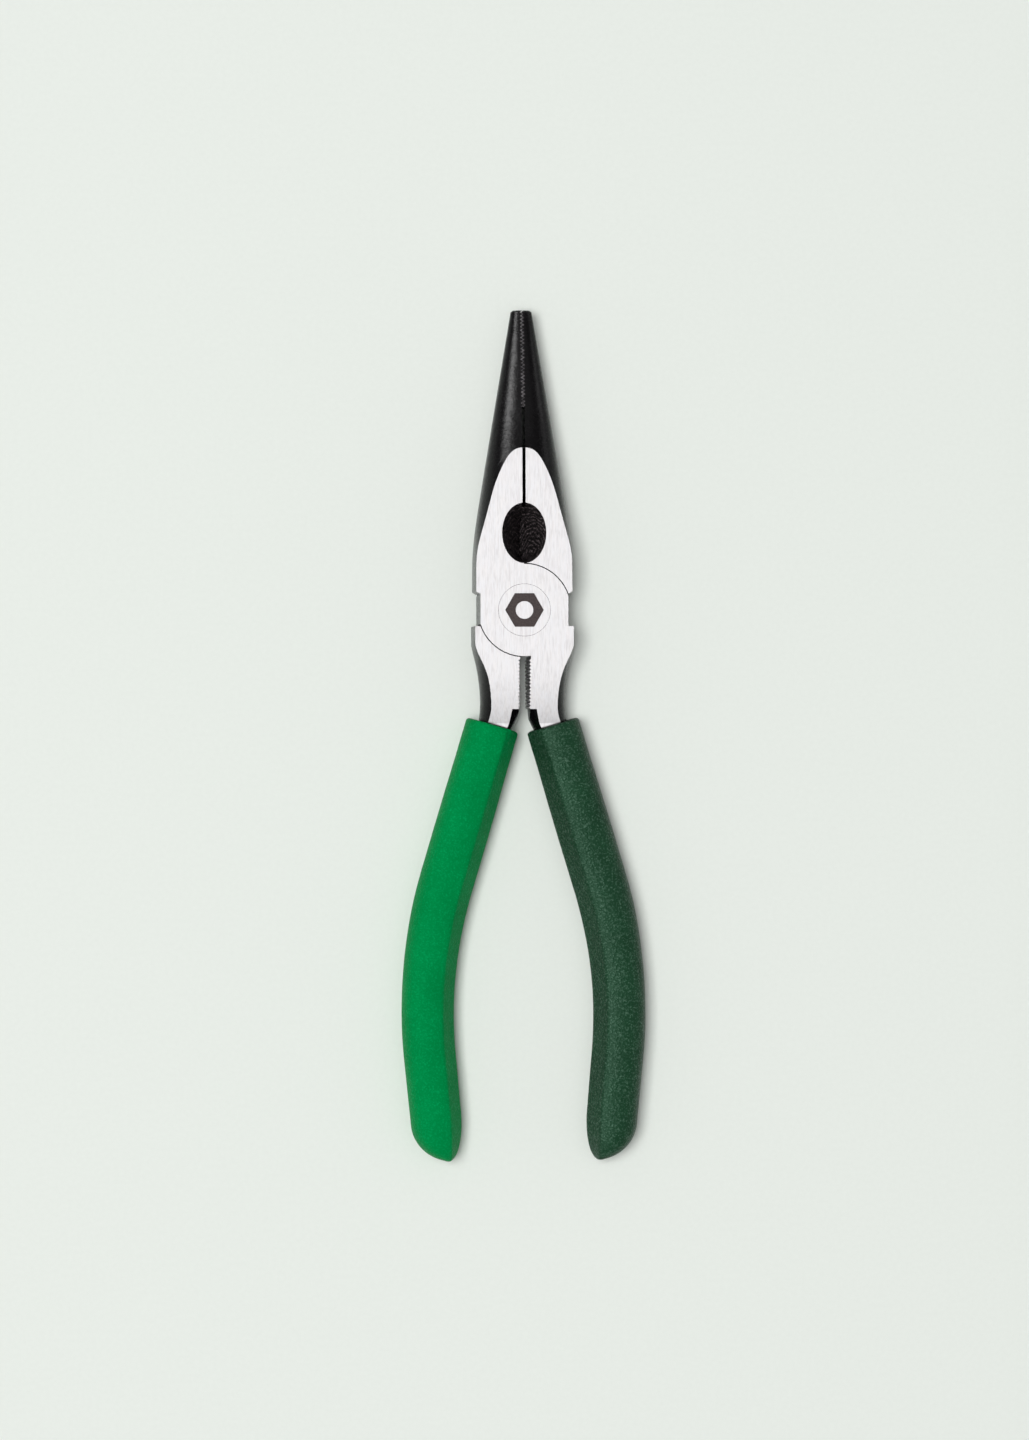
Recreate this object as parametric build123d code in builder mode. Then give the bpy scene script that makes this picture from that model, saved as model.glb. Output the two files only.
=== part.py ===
from build123d import *
import os
from math import copysign, cos, radians, sin, sqrt, tan

# Long-nose side-cutting pliers with a lap joint: two forgings, one flush rivet, two vinyl grips.
# Millimetres, jaws closed. +Z is the pivot axis, +Y points to the nose, and the origin is where the
# pivot axis meets the ground face that the pliers lie on. The front half owns the left jaw, the upper
# cheek of the joint and the right-hand tang. The rear half is the other forging.

os.makedirs("parts", exist_ok=True)

# Driving dimensions
THICKNESS = 12.0  # over the two ground faces
MID = THICKNESS / 2  # height of the plane between the cheeks
NOSE_TIP_Y = 71.7
TAIL_Y = -131.6  # lowest point of the grips
REACH = 160.0  # cutting sketches reach this far past the tool

# Nose and jaws: outline of the straight-sided nose running into the head, and the half height that
# the forging has at even steps from the tip back, before it is ground
NOSE_FIRST_Y = 71.3
NOSE_LAST_Y = 3.0
HEAD_HALF_WIDTH = 11.6
NOSE_START_Y = 14.2
NOSE_SLOPE = 0.17
NOSE_SHOULDER = 0.65
NOSE_HALF_HEIGHTS = [1.85, 2.65, 3.35, 3.95, 4.5, 5.2, 6.33, 7.5, 8.7, 10.4, 16.5, 27.0, 30.0]
NOSE_FULLNESS = 2.4  # exponent of the nose's oval section: 2 is an ellipse, more is boxier
NOSE_POINTS = 32  # round each section
TIP_BREAK = 0.4  # the broken edge at the very tip

# Teeth, relief slot and knives
TOOTH_PITCH = 0.87
TOOTH_DEPTH = 0.5
TOOTH_END_Y = 48.5
JAW_GAP = 0.2  # between the meshing teeth
RELIEF_HALF = 0.39
KNIFE_TOP_Y = 24.6
KNIFE_GAP = 0.08

# Oval dish over the knives, open on the top face
DISH_Y = 18.4
DISH_RX = 5.3
DISH_RY = 7.2
EDGE_Y = 17.0
EDGE_RX = 0.1
EDGE_RY = 4.2
EDGE_Z = 1.4

# Lap joint
CHEEK_R = 11.0
SEAT_R = 11.25
CHEEK_HALF_WIDTH = 10.5
LAP_GAP = 0.06
SHOULDER_Y = 3.85
SHOULDER_X = 11.65
SHOULDER_RISE = 0.7
BLOCK_HALF_WIDTH = 11.78
BLOCK_TOP_Y = -3.0
BLOCK_END_Y = -8.6

# Rivet
SHANK_R = 4.0
HEAD_R = 6.25
RIM_BREAK = 0.05  # bevel round the rivet's rims
RUNNING_CLEARANCE = 0.05
SEAT_CLEARANCE = 0.02
MARK_ACROSS_FLATS = 8.0
MARK_HOLE_R = 2.1
MARK_DEPTH = 0.1

# Crimping zone behind the joint
CRIMP_HALF_GAP = 1.08
CRIMP_PITCH = 0.85
CRIMP_DEPTH = 0.44
CRIMP_TOP_Y = -11.6
CRIMP_END_Y = -23.6
PAD_OUTER_X = 5.0
PAD_CORNER = 0.35

# Ground faces: flat over the head, then falling away towards the tang under the grip
TAPER_START_Y = -11.0
TAPER_END_Y = -27.0
TANG_HALF_HEIGHT = 4.3

# Right-hand tang: (inner edge, outer edge, half height before grinding) at even steps
NECK_START_Y = -3.0
NECK_STEP = 4.0
NECK_SECTIONS = [
    (-1.3, 11.7, 26.0),
    (-1.3, 11.95, 20.0),
    (-1.1, 11.62, 12.0),
    (-0.7, 10.8, 8.2),
    (0.0, 10.3, 6.9),
    (0.55, 10.2, 5.95),
    (1.85, 10.6, 5.35),
    (3.3, 11.6, 5.2),
]
TANG_STEP = 15.0
TANG_SECTIONS = [
    (3.3, 11.6, 5.2),
    (7.9, 15.9, 5.1),
    (12.55, 20.3, 5.0),
    (16.9, 24.6, 5.0),
    (18.9, 26.5, 5.0),
    (18.6, 26.0, 4.8),
    (18.4, 24.0, 4.5),
]

# Right-hand grip: its centre line runs from the mouth over the knee to the heel. The outer side is
# fully rounded, the inner side has a flank that meets the top and bottom at a crease.
GRIP_MOUTH = (7.2, -27.4)
GRIP_KNEE = (24.55, -85.45)
GRIP_TOE_IN = 5.43  # degrees, below the knee
GRIP_END_Y = -132.15
GRIP_BEND_R = 110.0
GRIP_HALF_WIDTHS = [6.45, 6.5, 6.6, 6.64, 6.62, 6.55, 6.45, 6.38, 6.35, 6.3, 6.22]  # at even steps
GRIP_HALF_HEIGHT = 5.95
# Upper half of the grip's section from the outer to the inner side, as (outward, up) parts of the half
# width and half height: round outside, then the crown, then a soft crease and a sloping flank
GRIP_PROFILE = [
    (1.0, 0.0),
    (0.985, 0.2),
    (0.93, 0.42),
    (0.83, 0.63),
    (0.68, 0.8),
    (0.48, 0.92),
    (0.26, 0.983),
    (0.06, 1.0),
    (-0.16, 0.985),
    (-0.34, 0.945),
    (-0.46, 0.9),
    (-0.53, 0.845),
    (-0.585, 0.765),
    (-0.695, 0.58),
    (-0.8, 0.4),
    (-0.9, 0.23),
    (-0.97, 0.1),
    (-1.0, 0.0),
]

# Rounding of the closed end and of the mouth: (length along the grip, draw-in across it)
END_OUTER = (9.5, 9.8)
END_INNER = (12.0, 4.1)
END_EDGE = (7.0, 4.4)
MOUTH_LIP = (0.6, 0.6)
MOUTH_STATIONS = [0.0, 0.1, 0.3, 0.6]  # distances from the mouth
END_STATIONS = [12.0, 10.2, 8.4, 6.6, 5.0, 3.4, 2.0, 1.0, 0.35]  # distances from the very end
SKIN_GAP = 0.03  # between the vinyl and the tang

FULL_TURN = 360
RIGHT = 1
LEFT = -1


def cross_plane(y):
    """Plane across the tool: local x to the right, local y up, its origin at mid-height."""
    return Plane(origin=(0, y, MID), x_dir=(1, 0, 0), z_dir=(0, -1, 0))


def saw_line(start, end, pitch, depth):
    """Points (x, y) of a saw line about x = 0, from y = start down to y = end."""
    count = round((start - end) / (pitch / 2))
    step = (start - end) / count
    return [(depth / 2 * (-1) ** i, start - step * i) for i in range(count + 1)]


def nose_half_width(y):
    """Half width of both jaws together: straight sides that turn into the head along a hyperbola."""
    rise = NOSE_SLOPE * max(y - NOSE_START_Y, 0)
    return HEAD_HALF_WIDTH - (sqrt(rise**2 + NOSE_SHOULDER**2) - NOSE_SHOULDER)


def nose_section(y, draw_in=0.0):
    """Oval across both jaws at this y, smaller all round by draw_in."""
    step = (NOSE_FIRST_Y - NOSE_LAST_Y) / (len(NOSE_HALF_HEIGHTS) - 1)
    half_width = nose_half_width(y) - draw_in
    half_height = NOSE_HALF_HEIGHTS[max(round((NOSE_FIRST_Y - y) / step), 0)] - draw_in
    points = []
    for index in range(NOSE_POINTS):
        angle = radians(index * FULL_TURN / NOSE_POINTS)
        across = copysign(abs(cos(angle)) ** (2 / NOSE_FULLNESS), cos(angle))
        up = copysign(abs(sin(angle)) ** (2 / NOSE_FULLNESS), sin(angle))
        points.append((half_width * across, half_height * up))
    with BuildSketch(cross_plane(y)) as section:
        with BuildLine():
            Spline(*points, periodic=True)
        make_face()
    return section.sketch


def nose_blank():
    """Both jaws in one piece, before parting and grinding."""
    step = (NOSE_FIRST_Y - NOSE_LAST_Y) / (len(NOSE_HALF_HEIGHTS) - 1)
    with BuildPart() as blank:
        for index in range(len(NOSE_HALF_HEIGHTS)):
            add(nose_section(NOSE_FIRST_Y - index * step))
        loft()
        add(nose_section(NOSE_FIRST_Y))
        add(nose_section(NOSE_TIP_Y, TIP_BREAK))
        loft(ruled=True)
    return blank.part


def tang_blank(growth=0.0):
    """The right-hand neck and tang before grinding, larger all round by growth."""
    neck_end_y = NECK_START_Y - NECK_STEP * (len(NECK_SECTIONS) - 1)
    stretches = [(NECK_SECTIONS, NECK_START_Y, NECK_STEP), (TANG_SECTIONS, neck_end_y, TANG_STEP)]
    with BuildPart() as blank:
        for sections, start_y, step in stretches:
            for index, (inner, outer, half_height) in enumerate(sections):
                with BuildSketch(cross_plane(start_y - index * step)):
                    with Locations(((inner + outer) / 2, 0)):
                        Ellipse((outer - inner) / 2 + growth, half_height + growth)
            loft()
    return blank.part


def ground_slab(growth=0.0):
    """The space between the grinding wheels, as wide as the whole tool."""
    run = TAPER_START_Y - TAPER_END_Y
    drop = MID - TANG_HALF_HEIGHT
    taper_r = (run**2 + drop**2) / (2 * drop)
    half_run_drop = taper_r - sqrt(taper_r**2 - (run / 2) ** 2)
    high = MID + growth
    low = TANG_HALF_HEIGHT + growth
    front_y = NOSE_TIP_Y + REACH
    back_y = TAIL_Y - REACH
    with BuildPart() as slab:
        with BuildSketch(Plane.YZ.offset(-REACH)):
            with BuildLine():
                Line((front_y, high), (TAPER_START_Y, high))
                ThreePointArc(
                    (TAPER_START_Y, high),
                    (TAPER_START_Y - run / 2, high - half_run_drop),
                    (TAPER_END_Y, low),
                )
                Polyline((TAPER_END_Y, low), (back_y, low), (back_y, 0), (front_y, 0), (front_y, high))
            make_face()
            mirror(about=Plane.XZ)
        extrude(amount=2 * REACH)
    return slab.part.moved(Location((0, 0, MID)))


def forging_envelope():
    """Both forgings in one: everything of steel but the rivet, ground to thickness."""
    with BuildPart() as envelope:
        add(nose_blank())
        add(tang_blank())
        add(mirror(tang_blank(), about=Plane.YZ, mode=Mode.PRIVATE))
        with BuildSketch():
            Circle(CHEEK_R)
            Rectangle(2 * CHEEK_HALF_WIDTH, 2 * CHEEK_R, mode=Mode.INTERSECT)
            block_length = BLOCK_TOP_Y - BLOCK_END_Y
            with Locations((0, BLOCK_TOP_Y)):
                Rectangle(2 * BLOCK_HALF_WIDTH, block_length, align=(Align.CENTER, Align.MAX))
        extrude(amount=THICKNESS)
        with BuildSketch():
            for side in (LEFT, RIGHT):
                with BuildLine():
                    Polyline(
                        (side * CRIMP_HALF_GAP, BLOCK_TOP_Y),
                        (side * PAD_OUTER_X, BLOCK_TOP_Y),
                        (side * PAD_OUTER_X, CRIMP_END_Y),
                        (side * (CRIMP_HALF_GAP + PAD_CORNER), CRIMP_END_Y),
                        (side * CRIMP_HALF_GAP, CRIMP_END_Y + PAD_CORNER),
                        (side * CRIMP_HALF_GAP, BLOCK_TOP_Y),
                    )
                make_face()
        extrude(amount=THICKNESS)
        add(ground_slab(), mode=Mode.INTERSECT)
    return envelope.part


def half_plan(side):
    """Plan of one forging: its jaw on this side, its cheek, and its tang on the other side."""
    teeth = saw_line(NOSE_TIP_Y, TOOTH_END_Y, TOOTH_PITCH, TOOTH_DEPTH)
    serration = saw_line(CRIMP_TOP_Y, CRIMP_END_Y, CRIMP_PITCH, CRIMP_DEPTH)
    parting = [(x + side * JAW_GAP / 2, y) for x, y in teeth]
    crimp = [(x - side * (CRIMP_HALF_GAP + CRIMP_DEPTH / 2), y) for x, y in serration]
    with BuildSketch() as plan:
        with BuildLine():
            Polyline(
                (side * JAW_GAP / 2, NOSE_TIP_Y + REACH),
                *parting,
                (side * RELIEF_HALF, TOOTH_END_Y),
                (side * RELIEF_HALF, KNIFE_TOP_Y),
                (side * KNIFE_GAP / 2, KNIFE_TOP_Y),
                (side * KNIFE_GAP / 2, 0),
                (side * CHEEK_HALF_WIDTH, 0),
                (side * CHEEK_HALF_WIDTH, SHOULDER_Y),
                (side * SHOULDER_X, SHOULDER_Y + SHOULDER_RISE),
                (side * REACH, SHOULDER_Y + SHOULDER_RISE),
                (side * REACH, NOSE_TIP_Y + REACH),
                (side * JAW_GAP / 2, NOSE_TIP_Y + REACH),
            )
        make_face()
        with BuildLine():
            Polyline(
                (-side * CRIMP_HALF_GAP, 0),
                *crimp,
                (-side * CRIMP_HALF_GAP, TAIL_Y),
                (-side * REACH, TAIL_Y),
                (-side * REACH, -SHOULDER_Y),
                (-side * CHEEK_HALF_WIDTH, -SHOULDER_Y),
                (-side * CHEEK_HALF_WIDTH, 0),
                (-side * CRIMP_HALF_GAP, 0),
            )
        make_face()
        with BuildSketch():
            Circle(CHEEK_R)
            Rectangle(2 * CHEEK_HALF_WIDTH, 2 * CHEEK_R, mode=Mode.INTERSECT)
    return plan.sketch


def rivet_blank(growth=0.0):
    """The rivet with a countersunk head at each end, larger all round by growth."""
    head_depth = HEAD_R - SHANK_R
    with BuildPart() as blank:
        with BuildSketch(Plane.XZ):
            with BuildLine():
                Polyline(
                    (0, 0),
                    (HEAD_R + growth, 0),
                    (SHANK_R + growth, head_depth),
                    (SHANK_R + growth, THICKNESS - head_depth),
                    (HEAD_R + growth, THICKNESS),
                    (0, THICKNESS),
                    (0, 0),
                )
            make_face()
        revolve(axis=Axis.Z)
    return blank.part


def dish():
    """The oval dish, from its rim on the top face down to the cutting edges."""
    with BuildPart() as hollow:
        with BuildSketch(Plane.XY.offset(EDGE_Z)):
            with Locations((0, EDGE_Y)):
                Ellipse(EDGE_RX, EDGE_RY)
        with BuildSketch(Plane.XY.offset(THICKNESS)):
            with Locations((0, DISH_Y)):
                Ellipse(DISH_RX, DISH_RY)
        loft()
    return hollow.part


def end_inset(distance, rounding):
    """How far an elliptically rounded end has drawn in, at this distance from the end of the grip."""
    length, width = rounding
    if distance >= length:
        return 0.0
    return width * (1 - sqrt(1 - (1 - distance / length) ** 2))


def grip_section(plane, half_width, end_distance, draw_in=0.0):
    """Section across the grip, drawn in near the closed end. Local x points outward."""
    outer = half_width - end_inset(end_distance, END_OUTER) - draw_in
    inner = half_width - end_inset(end_distance, END_INNER) - draw_in
    top = GRIP_HALF_HEIGHT - end_inset(end_distance, END_EDGE) - draw_in
    middle = (outer - inner) / 2
    across = (outer + inner) / 2
    upper = [(middle + across * x, top * y) for x, y in GRIP_PROFILE]
    lower = [(x, -y) for x, y in reversed(upper[1:-1])]
    with BuildSketch(plane) as section:
        with BuildLine():
            Spline(*upper, *lower, periodic=True)
        make_face()
    return section.sketch


def tang_space():
    """The room that the tang takes up inside a grip."""
    with BuildPart() as space:
        add(tang_blank(SKIN_GAP))
        add(ground_slab(SKIN_GAP), mode=Mode.INTERSECT)
    return space.part


def grip_sleeve():
    """The right-hand grip: a closed sleeve, its end rounded more on the outer side."""
    toe_in = radians(GRIP_TOE_IN)
    below_knee = GRIP_KNEE[1] - GRIP_END_Y
    heel = Vector(GRIP_KNEE[0] - below_knee * tan(toe_in), GRIP_END_Y, MID)
    along = Vector(-sin(toe_in), -cos(toe_in), 0)
    across = Vector(-along.Y, along.X, 0)
    body_end = heel - along * END_STATIONS[0]
    mouth = Vector(*GRIP_MOUTH, MID)
    knee = Vector(*GRIP_KNEE, MID)
    entry = (knee - mouth).normalized()
    entry_across = Vector(-entry.Y, entry.X, 0)
    path = FilletPolyline(mouth + entry * MOUTH_STATIONS[-1], knee, body_end, radius=GRIP_BEND_R)
    steps = len(GRIP_HALF_WIDTHS) - 1
    with BuildPart() as sleeve:
        for index, half_width in enumerate(GRIP_HALF_WIDTHS):
            forward = path % (index / steps)
            outward = Vector(-forward.Y, forward.X, 0)
            station = Plane(origin=path @ (index / steps), x_dir=outward, z_dir=forward)
            add(grip_section(station, half_width, END_STATIONS[0]))
        loft()
        for distance in MOUTH_STATIONS:
            station = Plane(origin=mouth + entry * distance, x_dir=entry_across, z_dir=entry)
            draw_in = end_inset(distance, MOUTH_LIP)
            add(grip_section(station, GRIP_HALF_WIDTHS[0], END_STATIONS[0], draw_in))
        loft(ruled=True)
        for distance in END_STATIONS:
            station = Plane(origin=heel - along * distance, x_dir=across, z_dir=along)
            add(grip_section(station, GRIP_HALF_WIDTHS[-1], distance))
        loft()
        add(tang_space(), mode=Mode.SUBTRACT)
    return sleeve.part


ENVELOPE = forging_envelope()
RIGHT_GRIP = grip_sleeve()

with BuildPart() as front_half:
    add(ENVELOPE)
    extrude(half_plan(LEFT), amount=THICKNESS, mode=Mode.INTERSECT)
    with BuildSketch(Plane.XY.offset(MID + LAP_GAP / 2)):
        Circle(SEAT_R)
    extrude(amount=-THICKNESS, mode=Mode.SUBTRACT)
    add(dish(), mode=Mode.SUBTRACT)
    add(rivet_blank(SEAT_CLEARANCE), mode=Mode.SUBTRACT)
front_half.part.label = "front_half"
export_step(front_half.part, "parts/front_half.step")

with BuildPart() as rear_half:
    add(ENVELOPE)
    extrude(half_plan(RIGHT), amount=THICKNESS, mode=Mode.INTERSECT)
    with BuildSketch(Plane.XY.offset(MID - LAP_GAP / 2)):
        Circle(SEAT_R)
    extrude(amount=THICKNESS, mode=Mode.SUBTRACT)
    add(dish(), mode=Mode.SUBTRACT)
    add(rivet_blank(RUNNING_CLEARANCE), mode=Mode.SUBTRACT)
rear_half.part.label = "rear_half"
export_step(rear_half.part, "parts/rear_half.step")

with BuildPart() as pivot_rivet:
    add(rivet_blank())
    levels = pivot_rivet.edges().filter_by(GeomType.CIRCLE).group_by(Axis.Z)
    chamfer(levels[0] + levels[-1], RIM_BREAK)
    with BuildSketch(Plane.XY.offset(THICKNESS)):
        RegularPolygon(MARK_ACROSS_FLATS / 2, 6, major_radius=False)
        Circle(MARK_HOLE_R, mode=Mode.SUBTRACT)
    extrude(amount=-MARK_DEPTH, mode=Mode.SUBTRACT)
pivot_rivet.part.label = "pivot_rivet"
export_step(pivot_rivet.part, "parts/pivot_rivet.step")

with BuildPart() as dark_grip:
    add(RIGHT_GRIP)
dark_grip.part.label = "dark_grip"
export_step(dark_grip.part, "parts/dark_grip.step")

with BuildPart() as light_grip:
    mirror(RIGHT_GRIP, about=Plane.YZ)
light_grip.part.label = "light_grip"
export_step(light_grip.part, "parts/light_grip.step")
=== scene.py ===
from math import atan2, cos, pi, radians, sin, sqrt, tan

import bmesh
import bpy
from mathutils import Matrix, Vector, noise


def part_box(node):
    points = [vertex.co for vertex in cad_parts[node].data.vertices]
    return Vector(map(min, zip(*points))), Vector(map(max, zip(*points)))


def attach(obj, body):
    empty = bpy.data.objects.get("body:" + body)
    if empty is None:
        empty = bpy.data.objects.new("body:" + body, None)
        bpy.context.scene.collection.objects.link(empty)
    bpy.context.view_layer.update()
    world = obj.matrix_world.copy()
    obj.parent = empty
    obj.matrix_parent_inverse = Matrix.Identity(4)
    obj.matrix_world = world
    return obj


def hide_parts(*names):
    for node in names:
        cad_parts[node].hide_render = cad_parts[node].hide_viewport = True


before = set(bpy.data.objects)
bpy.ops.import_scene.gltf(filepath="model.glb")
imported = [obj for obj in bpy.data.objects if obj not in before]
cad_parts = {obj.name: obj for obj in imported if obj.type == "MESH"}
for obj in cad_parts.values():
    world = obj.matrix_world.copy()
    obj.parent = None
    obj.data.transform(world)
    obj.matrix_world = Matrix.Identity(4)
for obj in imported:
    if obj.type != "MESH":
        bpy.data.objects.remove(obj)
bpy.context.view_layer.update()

# The pliers lie flat with their jaws closed: +Z is up and +Y points to the nose.
# Lengths are in metres.
MM = 0.001
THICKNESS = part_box("front_half")[1].z
MID = THICKNESS / 2

# Grip: centre line of the right-hand one, from the mouth over the knee to the heel
GRIP_MOUTH = Vector((7.2, -27.4)) * MM
GRIP_KNEE = Vector((24.55, -85.45)) * MM
GRIP_HEEL = Vector((20.14, -131.85)) * MM
GRIP_BEND_R = 110 * MM
# In mm, at even steps from the mouth to where the closed end starts
GRIP_HALF_WIDTHS = [6.45, 6.5, 6.6, 6.64, 6.62, 6.55, 6.42, 6.34, 6.32, 6.28, 6.2]
GRIP_HALF_HEIGHT = 5.93 * MM
GRIP_INSET = 0.02 * MM  # the skin lies this far inside its CAD solid

# Upper half of the section from the outer to the inner side, as parts of the half width and
# height: round outside, then the crown, then a soft crease and a sloping flank
GRIP_PROFILE = [
    (1.0, 0.0), (0.985, 0.2), (0.93, 0.42), (0.83, 0.63), (0.68, 0.8), (0.48, 0.92),
    (0.26, 0.983), (0.06, 1.0), (-0.16, 0.985), (-0.34, 0.945), (-0.46, 0.9), (-0.53, 0.845),
    (-0.585, 0.765), (-0.695, 0.58), (-0.8, 0.4), (-0.9, 0.23), (-0.97, 0.1), (-1.0, 0.0),
]

# How the closed end of a grip is rounded: (along the grip, across it)
END_OUTER = (9.5 * MM, 9.8 * MM)
END_INNER = (12.0 * MM, 4.1 * MM)
END_TOP = (7.0 * MM, 4.4 * MM)
END_LAST = 0.35 * MM  # the last full ring is this far from the end
# Rings beyond it: (share of the ring before, mm past the last full ring)
END_RINGS = ((0.85, 0.14), (0.55, 0.24))
END_TIP = 0.3 * MM
LIP_R = 0.7 * MM
# From the lip inwards: (mm into the mouth, mm between this ring and the tang)
MOUTH_RINGS = ((0.0, 0.36), (0.08, 0.27), (1.2, 0.24), (5.0, 0.0))

# How many rings a grip's lip, body and closed end have, and parts between two profile points
LIP_STEPS = 6
BODY_STEPS = 120
CAP_STEPS = 40
PROFILE_PARTS = 3

# Unevenness of the skin: its depth, where it sets in behind the mouth, and over what length
RIPPLE_DEPTH = 0.08 * MM
RIPPLE_START = 3 * MM
RIPPLE_FADE = 6 * MM
RIPPLE_WAVES = ((70, 0.7), (260, 0.3))  # (noise scale per metre, share)

# The tang where it enters the grip
TANG_OFFSET = 1.0 * MM
TANG_HALF_WIDTH = 4.35 * MM
TANG_OVAL_HEIGHT = 5.4 * MM

# Steel surfaces
TAPER_START_Y = -11 * MM  # behind this, the ground faces fall away in an arc
TAPER_R = 76.1 * MM
TANG_HALF_HEIGHT = 4.3 * MM
GROUND_TOLERANCE = 0.02 * MM
MOUTH_SHADE = (-0.45 * MM, -0.1 * MM)  # from a grip's mouth, where painted shade darkens the steel
TOOTH_START_Y = 71.7 * MM
TOOTH_END_Y = 48.5 * MM
TOOTH_STEP = 0.43774 * MM  # half a pitch
TOOTH_DEPTH = 0.5 * MM
TOOTH_REACH = 0.4 * MM  # the teeth stay this near the parting line
TOOTH_RIM = (0.2 * MM, 0.34 * MM)  # from the parting line, where the rubbed rim and its painted highlight fade
FLANK_LEAN = 0.3  # a tooth's flank is more upright than this
DISH_CENTRE = Vector((0, 18.4)) * MM
DISH_RX = 5.4 * MM
DISH_RY = 7.3 * MM
DISH_LEAN = 0.05  # a wall of the dish looks up by more than this
CUTTER_OFFSET = (-3.5 * MM, -12.5 * MM, -6 * MM)  # moves the centre of the cutter's marks to 0
MARK_REACH = 5 * MM  # the etched mark stays this near the pivot

# Camera
FRAME_HEIGHT = 342.9 * MM  # what the long side of the picture spans at the ground face
CAMERA_DISTANCE = 1.2
CAMERA_RANGE = 20.0
CAMERA_TARGET = Vector((-2.5, -26.2, 12)) * MM
CAMERA_TILT = radians(5.4)
CAMERA_ROLL = radians(0.22)
SENSOR = 36.0  # mm

# Floor and light
FLOOR_REACH = 3.0
LIGHT_TARGET = Vector((0, -30, 0)) * MM
LIGHT_DISTANCE = 4.0
LIGHTS = [
    # name, elevation, azimuth, (width, height), power, lights surfaces, shows in reflections
    ("key", 74, 175, (1.6, 1.6), 122.0, True, False),
    ("left_sheen", 57, 178, (3.5, 1.5), 245.0, False, True),
    ("right_sheen", 28, 4, (2.5, 1.2), 22.0, False, True),
]
# Brightness of the surroundings, as (sine of elevation, level)
SKY = [
    (0.0, 0.95), (0.08, 0.9), (0.2, 0.35), (0.45, 0.3), (0.7, 0.2), (0.85, 0.25),
    (0.92, 0.8), (0.98, 0.8), (1.0, 0.5),
]
SKY_STRENGTH = 0.8


# ---------------------------------------------------------------- materials


class Shader:
    """A material's node tree, with one-line helpers to add and join nodes."""

    def __init__(self, name):
        self.material = bpy.data.materials.new(name)
        self.material.use_nodes = True
        self.tree = self.material.node_tree
        self.surface = self.tree.nodes["Principled BSDF"]

    def add(self, kind, settings=None, **inputs):
        node = self.tree.nodes.new(kind)
        for key, value in (settings or {}).items():
            setattr(node, key, value)
        for key, value in inputs.items():
            self.feed(node.inputs[key.replace("_", " ")], value)
        return node

    def feed(self, socket, value):
        if isinstance(value, bpy.types.NodeSocket):
            self.tree.links.new(value, socket)
        else:
            socket.default_value = value

    def set(self, **inputs):
        for key, value in inputs.items():
            self.feed(self.surface.inputs[key.replace("_", " ")], value)

    def coordinates(self, stretch=(1, 1, 1)):
        place = self.add("ShaderNodeTexCoord").outputs["Object"]
        return self.add("ShaderNodeMapping", Vector=place, Scale=stretch).outputs["Vector"]

    def noise(self, vector, scale, detail=4.0, roughness=0.55, distortion=0.0):
        node = self.add(
            "ShaderNodeTexNoise", Vector=vector, Scale=scale, Detail=detail,
            Roughness=roughness, Distortion=distortion,
        )
        return node.outputs["Fac"]

    def span(self, value, low, high, start=0.0, end=1.0):
        """value mapped from low..high to start..end, and kept there."""
        node = self.add("ShaderNodeMapRange", Value=value)
        node.inputs["From Min"].default_value = low
        node.inputs["From Max"].default_value = high
        node.inputs["To Min"].default_value = start
        node.inputs["To Max"].default_value = end
        return node.outputs["Result"]

    def blend(self, factor, first, second):
        node = self.add("ShaderNodeMix", {"data_type": "RGBA"}, Factor=factor)
        self.feed(node.inputs["A"], first)
        self.feed(node.inputs["B"], second)
        return node.outputs["Result"]

    def maths(self, operation, first, second=0.0):
        node = self.add("ShaderNodeMath", {"operation": operation})
        self.feed(node.inputs[0], first)
        self.feed(node.inputs[1], second)
        return node.outputs["Value"]

    def bump(self, height, distance, strength=1.0, normal=None):
        node = self.add("ShaderNodeBump", Height=height, Distance=distance, Strength=strength)
        if normal:
            self.feed(node.inputs["Normal"], normal)
        return node.outputs["Normal"]


def linear(red, green, blue):
    """An sRGB colour of 0-255 as Blender's linear RGBA."""

    def curve(value):
        value /= 255
        return value / 12.92 if value <= 0.04045 else ((value + 0.055) / 1.055) ** 2.4

    return (curve(red), curve(green), curve(blue), 1.0)


def mouth_shadow(m):
    """1 on the steel right beside either grip's mouth, where painted shade darkens the crevice.
    """
    axes = m.add("ShaderNodeSeparateXYZ", Vector=m.coordinates()).outputs
    entry = (GRIP_KNEE - GRIP_MOUTH).normalized()
    outward = m.maths("SUBTRACT", m.maths("ABSOLUTE", axes["X"]), GRIP_MOUTH.x)
    back = m.maths("SUBTRACT", axes["Y"], GRIP_MOUTH.y)
    along = m.maths("MULTIPLY", back, entry.y)
    depth = m.maths("ADD", m.maths("MULTIPLY", outward, entry.x), along)
    return m.span(depth, *MOUTH_SHADE)


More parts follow.
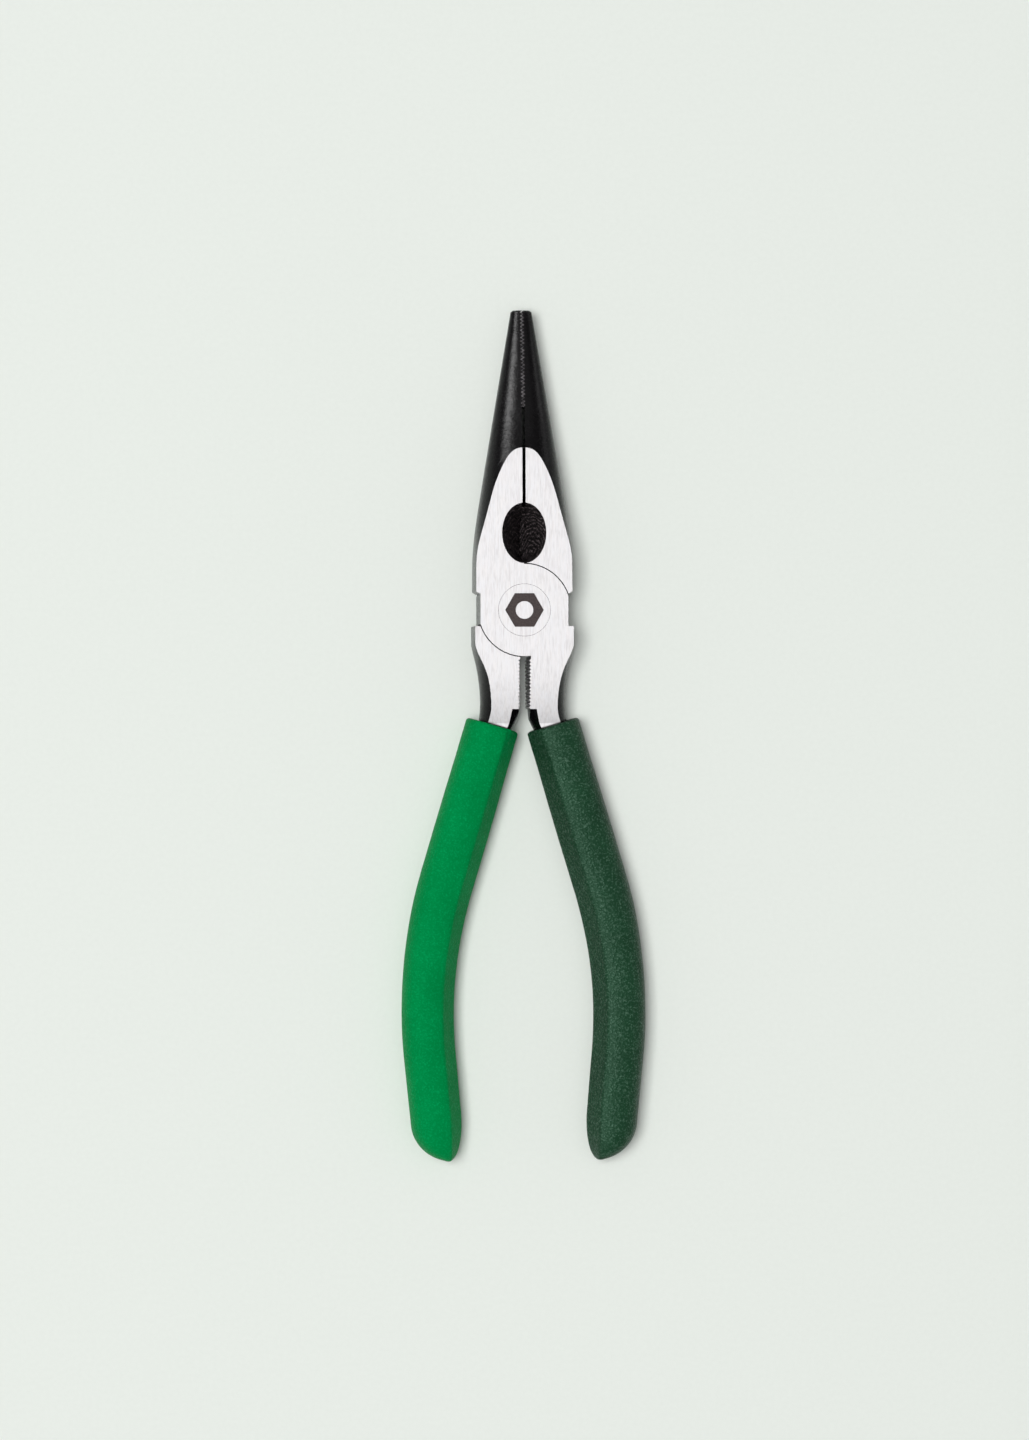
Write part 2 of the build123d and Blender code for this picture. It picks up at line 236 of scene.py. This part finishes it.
def ground_steel():
    """Bright faces with the fine scratches of the grinding belt, short and along the tool."""
    m = Shader("ground_steel")
    scratches = m.noise(m.coordinates((1, 0.06, 1)), scale=5200, detail=3, roughness=0.6)
    patches = m.noise(
        m.coordinates((1, 0.16, 1)), scale=1900, detail=3, roughness=0.65, distortion=0.3
    )
    tint = m.noise(m.coordinates((1, 0.1, 1)), scale=2600, detail=2)
    pale = m.blend(m.span(tint, 0.35, 0.65), linear(190, 188, 188), linear(188, 188, 190))
    half_patches = m.maths("MULTIPLY", patches, 0.5)
    shade = m.maths("ADD", m.maths("MULTIPLY", scratches, 0.5), half_patches)
    clean = m.blend(m.span(shade, 0.36, 0.54), linear(173, 170, 171), pale)
    # painted shade: beside each grip's mouth the steel turns near black, as the crevice's
    # shadow
    m.set(Base_Color=m.blend(mouth_shadow(m), clean, linear(24, 24, 22)))
    m.set(Metallic=1.0, Anisotropic=0.6, Roughness=m.span(patches, 0.3, 0.7, 0.54, 0.62))
    m.set(Normal=m.bump(scratches, 0.004 * MM, 0.6))
    tangent = m.add("ShaderNodeCombineXYZ", X=1.0, Y=0.0, Z=0.0)
    m.set(Tangent=tangent.outputs["Vector"])
    return m.material


def tooth_wear_and_highlight(m, place):
    """1 along the rims of the meshing teeth, where use rubbed the black off and a highlight is
    painted.
    """
    axes = m.add("ShaderNodeSeparateXYZ", Vector=m.coordinates()).outputs
    back = m.maths("SUBTRACT", TOOTH_START_Y, axes["Y"])
    saw = m.maths("MULTIPLY", m.maths("PINGPONG", back, TOOTH_STEP), TOOTH_DEPTH / TOOTH_STEP)
    line = m.maths("SUBTRACT", TOOTH_DEPTH / 2, saw)
    away = m.maths("ABSOLUTE", m.maths("SUBTRACT", axes["X"], line))
    rim = m.span(away, *TOOTH_RIM, 1.0, 0.0)
    toothed = m.maths("LESS_THAN", back, TOOTH_START_Y - TOOTH_END_Y)
    patchy = m.span(m.noise(place, scale=1300, detail=2), 0.42, 0.56, 0.15, 1.0)
    return m.maths("MULTIPLY", m.maths("MULTIPLY", rim, toothed), patchy)


def black_oxide():
    """Blackened forging: dark, satin, finely pitted, with a faint violet cast."""
    m = Shader("black_oxide")
    place = m.coordinates()
    pits = m.noise(place, scale=1600, detail=5, roughness=0.7)
    swells = m.noise(place, scale=600, detail=4, roughness=0.6)
    black = m.blend(m.span(swells, 0.3, 0.7), linear(3, 2, 3), linear(10, 8, 10))
    # rubbed steel and painted highlight: pale grey along the tooth rims
    m.set(Base_Color=m.blend(tooth_wear_and_highlight(m, place), black, linear(118, 114, 116)))
    m.set(Roughness=m.span(pits, 0.3, 0.7, 0.18, 0.32), Specular_IOR_Level=0.2)
    m.set(Normal=m.bump(swells, 0.04 * MM, 0.7, m.bump(pits, 0.045 * MM)))
    return m.material


def milled_black():
    """Blackened dish walls that still show the curved marks of the cutter, with a painted
    sheen.
    """
    m = Shader("milled_black")
    place = m.coordinates()
    shifted = m.add("ShaderNodeMapping", Vector=place, Location=CUTTER_OFFSET)
    rings = m.add(
        "ShaderNodeTexWave", {"wave_type": "RINGS", "rings_direction": "SPHERICAL"},
        Vector=shifted.outputs["Vector"], Scale=330.0, Distortion=9.0, Detail=4.0,
    ).outputs["Fac"]
    grain = m.noise(place, scale=1500, detail=5, roughness=0.7, distortion=1.5)
    # cutter marks and painted sheen: the rings and grain turn pale grey, standing in for their
    # highlights
    cutter_marks_and_sheen = m.maths("MULTIPLY", m.span(grain, 0.44, 0.62), m.span(rings, 0.4, 0.95, 0.12, 1.0))
    m.set(Base_Color=m.blend(cutter_marks_and_sheen, linear(2, 2, 2), linear(112, 103, 105)))
    m.set(Roughness=m.span(rings, 0.2, 0.8, 0.35, 0.6), Specular_IOR_Level=0.08)
    m.set(Normal=m.bump(grain, 0.05 * MM, 0.9, m.bump(rings, 0.03 * MM, 0.6)))
    return m.material


def tooth_steel():
    """Machined gripping teeth and edges, rubbed half bright."""
    m = Shader("tooth_steel")
    wear = m.noise(m.coordinates(), scale=1200, detail=4)
    tone = m.blend(m.span(wear, 0.35, 0.65), linear(70, 66, 68), linear(150, 146, 148))
    m.set(Base_Color=tone)
    m.set(Roughness=m.span(wear, 0.3, 0.7, 0.35, 0.55), Metallic=0.6)
    m.set(Normal=m.bump(wear, 0.01 * MM, 0.5))
    return m.material


def mark_enamel():
    """Dark brown etched mark in the rivet head."""
    m = Shader("mark_enamel")
    grain = m.noise(m.coordinates(), scale=3000, detail=3)
    m.set(Base_Color=m.blend(m.span(grain, 0.3, 0.7), linear(52, 43, 42), linear(70, 59, 58)))
    m.set(Roughness=m.span(grain, 0.3, 0.7, 0.5, 0.65), Specular_IOR_Level=0.3)
    m.set(Normal=m.bump(grain, 0.01 * MM, 0.5))
    return m.material


def vinyl(name, deep, bright, glint, grain_depth, painted_glint, shine):
    """Dipped vinyl: satin, pebbled like leather, slow clouds of colour, painted glints and
    shade.
    """
    m = Shader(name)
    place = m.coordinates()
    warped = m.add("ShaderNodeVectorMath", {"operation": "ADD"}).outputs["Vector"]
    wander = m.add("ShaderNodeTexNoise", Vector=place, Scale=900.0).outputs["Color"]
    shift = m.add("ShaderNodeVectorMath", {"operation": "SCALE"}, Vector=wander, Scale=0.6 * MM)
    m.feed(warped.node.inputs[0], place)
    m.feed(warped.node.inputs[1], shift.outputs["Vector"])
    cells = m.add("ShaderNodeTexVoronoi", Vector=warped, Scale=1900.0).outputs["Distance"]
    wrinkle = m.maths("MULTIPLY", m.noise(place, scale=2300, detail=3, roughness=0.6), 0.7)
    cloud = m.noise(place, scale=130, detail=3)
    pebble = m.maths("ADD", m.span(cells, 0.0, 0.75, 1.0, 0.0), wrinkle)
    tone = m.blend(m.span(cloud, 0.3, 0.7), deep, bright)
    # painted highlight: light dots on the pebble tops and worm-like streaks stand in for glints
    worm = m.noise(warped, scale=2100, detail=2, roughness=0.5)
    dots = m.maths("MAXIMUM", m.span(pebble, 1.0, 1.25), m.span(worm, 0.53, 0.62, 0.0, 0.8))
    top = m.blend(m.maths("MULTIPLY", dots, painted_glint), tone, glint)
    # painted shade: in the low grooves between pebbles the colour goes half way to the deep
    # tone
    m.set(Base_Color=m.blend(m.span(pebble, 0.55, 0.9, 0.5, 0.0), top, deep))
    m.set(Roughness=m.span(pebble, 0.5, 1.3, 0.52, 0.36))
    m.set(Specular_IOR_Level=shine, Specular_Tint=glint)
    m.set(Normal=m.bump(pebble, grain_depth))
    return m.material


def floor_paper():
    """Pale matte sweep that the pliers lie on."""
    m = Shader("floor_paper")
    fibre = m.noise(m.coordinates(), scale=900, detail=3)
    tone = m.blend(m.span(fibre, 0.3, 0.7), linear(229, 234, 228), linear(231, 236, 230))
    m.set(Base_Color=tone)
    m.set(Roughness=0.9, Specular_IOR_Level=0.1)
    return m.material


# ---------------------------------------------------------------- steel


def ground_half_height(y):
    """Height of the ground faces over the mid-plane at this y."""
    run = min(max(TAPER_START_Y - y, 0.0), TAPER_R)
    drop = TAPER_R - sqrt(TAPER_R**2 - run**2)
    return max(MID - drop, TANG_HALF_HEIGHT)


def is_ground(point):
    return abs(point.z - MID) > ground_half_height(point.y) - GROUND_TOLERANCE


def in_dish(point):
    across = (point.x - DISH_CENTRE.x) / DISH_RX
    along = (point.y - DISH_CENTRE.y) / DISH_RY
    return across**2 + along**2 < 1


def dress(node, materials, choose):
    """Gives a CAD node these materials, one for each face as choose(face, corners) says."""
    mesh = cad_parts[node].data
    mesh.materials.clear()
    for material in materials:
        mesh.materials.append(material)
    for face in mesh.polygons:
        corners = [mesh.vertices[i].co for i in face.vertices]
        face.material_index = choose(face, corners)


def is_tooth(face, corners):
    end = TOOTH_END_Y - GROUND_TOLERANCE
    flank = abs(face.normal.z) < FLANK_LEAN
    return flank and all(abs(c.x) < TOOTH_REACH and c.y > end for c in corners)


def forging_slot(face, corners):
    """0 ground, 1 blackened, 2 milled dish, 3 gripping teeth."""
    if all(is_ground(c) for c in corners):
        return 0
    if is_tooth(face, corners):
        return 3
    if face.normal.z > DISH_LEAN and all(in_dish(c) for c in corners):
        return 2
    return 1


def rivet_slot(face, corners):
    """0 ground, 1 etched mark."""
    etched = min(c.z for c in corners) < THICKNESS - GROUND_TOLERANCE
    return 1 if etched and all(c.z > MID and c.xy.length < MARK_REACH for c in corners) else 0


# ---------------------------------------------------------------- grips


def centre_line(distance):
    """(point, direction) on the right-hand grip's centre line, this far from the mouth."""
    upper = (GRIP_KNEE - GRIP_MOUTH).normalized()
    lower = (GRIP_HEEL - GRIP_KNEE).normalized()
    turn = upper.angle(lower)
    tangent_length = GRIP_BEND_R * tan(turn / 2)
    straight = (GRIP_KNEE - GRIP_MOUTH).length - tangent_length
    bend = GRIP_BEND_R * turn
    if distance <= straight:
        return GRIP_MOUTH + upper * distance, upper
    if distance <= straight + bend:
        angle = (distance - straight) / GRIP_BEND_R
        side = Vector((upper.y, -upper.x))
        centre = GRIP_MOUTH + upper * straight + side * GRIP_BEND_R
        direction = upper * cos(angle) + side * sin(angle)
        return centre - (side * cos(angle) - upper * sin(angle)) * GRIP_BEND_R, direction
    rest = distance - straight - bend
    return GRIP_KNEE + lower * (tangent_length + rest), lower


def grip_length():
    upper = GRIP_KNEE - GRIP_MOUTH
    lower = GRIP_HEEL - GRIP_KNEE
    turn = upper.angle(lower)
    return upper.length + lower.length - 2 * GRIP_BEND_R * tan(turn / 2) + GRIP_BEND_R * turn


def inset(distance, corner):
    """How far an elliptically rounded end has drawn in, this far from the end."""
    depth, width = corner
    if distance >= depth:
        return 0.0
    return width * (1 - sqrt(max(1 - (1 - distance / depth) ** 2, 0.0)))


def smooth_loop(points, parts):
    """A closed loop through these points (Catmull-Rom), each span cut into this many parts."""
    loop = []
    count = len(points)
    for index in range(count):
        p0, p1, p2, p3 = (points[(index + k) % count] for k in (-1, 0, 1, 2))
        for step in range(parts):
            t = step / parts
            loop.append(
                0.5 * (2 * p1 + (p2 - p0) * t + (2 * p0 - 5 * p1 + 4 * p2 - p3) * t**2
                       + (3 * p1 - p0 - 3 * p2 + p3) * t**3)
            )
    return loop


def grip_half_width(along, length):
    """Half width this far from the mouth, between the even steps of the table."""
    place = min(along / (length - END_INNER[0]), 1.0) * (len(GRIP_HALF_WIDTHS) - 1)
    index = min(int(place), len(GRIP_HALF_WIDTHS) - 2)
    share = place - index
    return (GRIP_HALF_WIDTHS[index] * (1 - share) + GRIP_HALF_WIDTHS[index + 1] * share) * MM


def grip_loop(half_width, end_distance, draw_in):
    """The grip's section: (outward, up) points, drawn in near the closed end and at the lip."""
    outer = half_width - inset(end_distance, END_OUTER) - draw_in
    inner = half_width - inset(end_distance, END_INNER) - draw_in
    top = GRIP_HALF_HEIGHT - inset(end_distance, END_TOP) - draw_in
    middle = (outer - inner) / 2
    across = (outer + inner) / 2
    upper = [Vector((middle + across * x, top * y)) for x, y in GRIP_PROFILE]
    lower = [Vector((v.x, -v.y)) for v in reversed(upper[1:-1])]
    return smooth_loop(upper + lower, PROFILE_PARTS)


def grip_stations(length):
    """(distance from the mouth, draw-in) of every ring of the skin."""
    rounding = [pi / 2 * k / LIP_STEPS for k in range(LIP_STEPS + 1)]
    stations = [(LIP_R * (1 - cos(angle)), LIP_R * (1 - sin(angle))) for angle in rounding]
    body_end = length - END_INNER[0]
    for k in range(1, BODY_STEPS + 1):
        stations.append((LIP_R + (body_end - LIP_R) * k / BODY_STEPS, 0.0))
    cap = END_INNER[0] - END_LAST
    for k in range(1, CAP_STEPS + 1):
        stations.append((body_end + cap * sin(pi / 2 * k / CAP_STEPS), 0.0))
    return stations


def grip_mesh(name, side, seed):
    """One grip: a long skin with a rolled lip at the mouth and a soft closed end."""
    length = grip_length()
    bm = bmesh.new()
    previous = None
    mouth_ring = None
    for along, draw_in in grip_stations(length):
        point, direction = centre_line(along)
        across = Vector((-direction.y, direction.x))
        half_width = grip_half_width(along, length)
        loop = []
        for outward, up in grip_loop(half_width, length - along, draw_in + GRIP_INSET):
            place = point + across * outward
            loop.append(bm.verts.new((side * place.x, place.y, MID + up)))
        if previous:
            bridge(bm, previous, loop)
        else:
            mouth_ring = loop
        previous = loop
    close_end(bm, previous, centre_line(length)[1], side)
    bmesh.ops.recalc_face_normals(bm, faces=bm.faces)
    ripple(bm, seed, side)
    add_mouth(bm, mouth_ring, side)
    bmesh.ops.recalc_face_normals(bm, faces=bm.faces)
    mesh = bpy.data.meshes.new(name)
    bm.to_mesh(mesh)
    bm.free()
    for face in mesh.polygons:
        face.use_smooth = True
    piece = bpy.data.objects.new(name, mesh)
    bpy.context.scene.collection.objects.link(piece)
    return piece


def close_end(bm, ring, direction, side):
    """Rounds the last ring over to a point."""
    middle = sum((v.co for v in ring), Vector()) / len(ring)
    ahead = Vector((side * direction.x, direction.y, 0))
    for share, reach in END_RINGS:
        smaller = []
        for vertex in ring:
            place = middle + (vertex.co - middle) * share + ahead * (reach * MM)
            smaller.append(bm.verts.new(place))
        bridge(bm, ring, smaller)
        ring = smaller
    tip = bm.verts.new(middle + ahead * END_TIP)
    for k, vertex in enumerate(ring):
        bm.faces.new((vertex, ring[(k + 1) % len(ring)], tip))


def bridge(bm, first, second):
    """Joins two rings of as many points with a band of faces."""
    for k in range(len(first)):
        after = (k + 1) % len(first)
        bm.faces.new((first[k], first[after], second[after], second[k]))


def add_mouth(bm, mouth_ring, side):
    """From the lip in to the steel, then along the tang, and closed out of sight."""
    point, direction = centre_line(0.0)
    across = Vector((-direction.y, direction.x))
    centre = point - across * TANG_OFFSET
    previous = mouth_ring
    for depth, gap in MOUTH_RINGS:
        half_width = TANG_HALF_WIDTH + gap * MM
        oval_height = TANG_OVAL_HEIGHT + gap * MM
        limit = TANG_HALF_HEIGHT + gap * MM
        loop = []
        for vertex in mouth_ring:
            local = Vector((side * vertex.co.x, vertex.co.y)) - centre
            rise = (vertex.co.z - MID) / GRIP_HALF_HEIGHT
            angle = atan2(rise, local.dot(across) / GRIP_HALF_HEIGHT)
            up = max(-limit, min(limit, oval_height * sin(angle)))
            place = centre + direction * (depth * MM) + across * (half_width * cos(angle))
            loop.append(bm.verts.new((side * place.x, place.y, MID + up)))
        bridge(bm, previous, loop)
        previous = loop
    bm.faces.new(previous)


def ripple(bm, seed, side):
    """Slow unevenness of a dipped skin, only ever inward."""
    bm.normal_update()
    shift = Vector((seed, 0, 0))
    for vertex in bm.verts:
        place = Vector((side * vertex.co.x, vertex.co.y, vertex.co.z))
        swell = sum(share * noise.noise(place * scale + shift) for scale, share in RIPPLE_WAVES)
        behind = GRIP_MOUTH.y - RIPPLE_START - vertex.co.y
        fade = min(max(behind / RIPPLE_FADE, 0.0), 1.0)
        vertex.co -= vertex.normal * (RIPPLE_DEPTH * fade * (0.5 + 0.5 * swell))


def make_grip(name, node, body, side, material, seed):
    """A grip's skin in place of its CAD solid. side is 1 for the right-hand one, else -1."""
    piece = grip_mesh(name, side, seed)
    piece.data.materials.append(material)
    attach(piece, body)
    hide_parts(node)


# ---------------------------------------------------------------- stage


def make_floor(material):
    """A wide flat sheet at the height of the lower ground face."""
    mesh = bpy.data.meshes.new("floor")
    signs = ((-1, -1), (1, -1), (1, 1), (-1, 1))
    corners = [(x * FLOOR_REACH, y * FLOOR_REACH, 0.0) for x, y in signs]
    mesh.from_pydata(corners, [], [(0, 1, 2, 3)])
    mesh.materials.append(material)
    floor = bpy.data.objects.new("floor", mesh)
    bpy.context.scene.collection.objects.link(floor)


def area_light(name, elevation, azimuth, size, power, diffuse, glossy):
    """A soft panel facing the pliers, seen from them at these degrees (azimuth 0 is +X)."""
    elevation, azimuth = radians(elevation), radians(azimuth)
    outward = cos(elevation)
    light = bpy.data.lights.new(name, "AREA")
    light.shape = "RECTANGLE"
    light.size, light.size_y = size
    light.energy = power
    direction = Vector((cos(azimuth) * outward, sin(azimuth) * outward, sin(elevation)))
    lamp = bpy.data.objects.new(name, light)
    lamp.location = LIGHT_TARGET + direction * LIGHT_DISTANCE
    lamp.rotation_euler = direction.to_track_quat("Z", "Y").to_euler()
    lamp.visible_diffuse = diffuse
    lamp.visible_glossy = glossy
    bpy.context.scene.collection.objects.link(lamp)


def make_world():
    """A white studio: bright at the horizon, dim above it, with a bright ring high up."""
    world = bpy.data.worlds.new("studio")
    bpy.context.scene.world = world
    world.use_nodes = True
    tree = world.node_tree
    place = tree.nodes.new("ShaderNodeTexCoord")
    split = tree.nodes.new("ShaderNodeSeparateXYZ")
    ramp = tree.nodes.new("ShaderNodeValToRGB")
    tree.links.new(place.outputs["Generated"], split.inputs[0])
    tree.links.new(split.outputs["Z"], ramp.inputs["Fac"])
    tree.links.new(ramp.outputs["Color"], tree.nodes["Background"].inputs["Color"])
    stops = ramp.color_ramp.elements
    while len(stops) < len(SKY):
        stops.new(0.5)
    for stop, (height, level) in zip(stops, SKY):
        stop.position = height
        stop.color = (level, level, level, 1)
    tree.nodes["Background"].inputs["Strength"].default_value = SKY_STRENGTH


def make_camera():
    """A long lens almost straight above the pliers, leaning and turned a little."""
    data = bpy.data.cameras.new("camera")
    data.sensor_width = SENSOR
    data.lens = SENSOR * CAMERA_DISTANCE / FRAME_HEIGHT
    data.clip_end = CAMERA_RANGE
    camera = bpy.data.objects.new("camera", data)
    back = Vector((-sin(CAMERA_TILT), 0, cos(CAMERA_TILT)))
    right = Vector((cos(CAMERA_TILT), 0, sin(CAMERA_TILT)))
    up = back.cross(right)
    turn = Matrix.Rotation(-CAMERA_ROLL, 3, back)
    axes = Matrix((turn @ right, turn @ up, back)).transposed().to_4x4()
    camera.matrix_world = Matrix.Translation(CAMERA_TARGET + back * CAMERA_DISTANCE) @ axes
    bpy.context.scene.collection.objects.link(camera)
    bpy.context.scene.camera = camera


bpy.context.scene.view_settings.view_transform = "Standard"
bpy.context.scene.view_settings.look = "None"

STEEL = ground_steel()
FORGING = [STEEL, black_oxide(), milled_black(), tooth_steel()]
dress("front_half", FORGING, forging_slot)
dress("rear_half", FORGING, forging_slot)
dress("pivot_rivet", [STEEL, mark_enamel()], rivet_slot)
DARK_VINYL = vinyl(
    "dark_vinyl_skin", deep=linear(13, 49, 28), bright=linear(22, 61, 38),
    glint=linear(165, 208, 184), grain_depth=0.1 * MM, painted_glint=0.13, shine=0.3,
)
make_grip("dark_grip_skin", "dark_grip", "front", 1, DARK_VINYL, seed=3.0)
LIGHT_VINYL = vinyl(
    "light_vinyl_skin", deep=linear(0, 123, 61), bright=linear(0, 136, 70),
    glint=linear(30, 228, 145), grain_depth=0.07 * MM, painted_glint=0.12, shine=0.07,
)
make_grip("light_grip_skin", "light_grip", "rear", -1, LIGHT_VINYL, seed=11.0)
make_floor(floor_paper())
make_world()
make_camera()
for panel in LIGHTS:
    area_light(*panel)
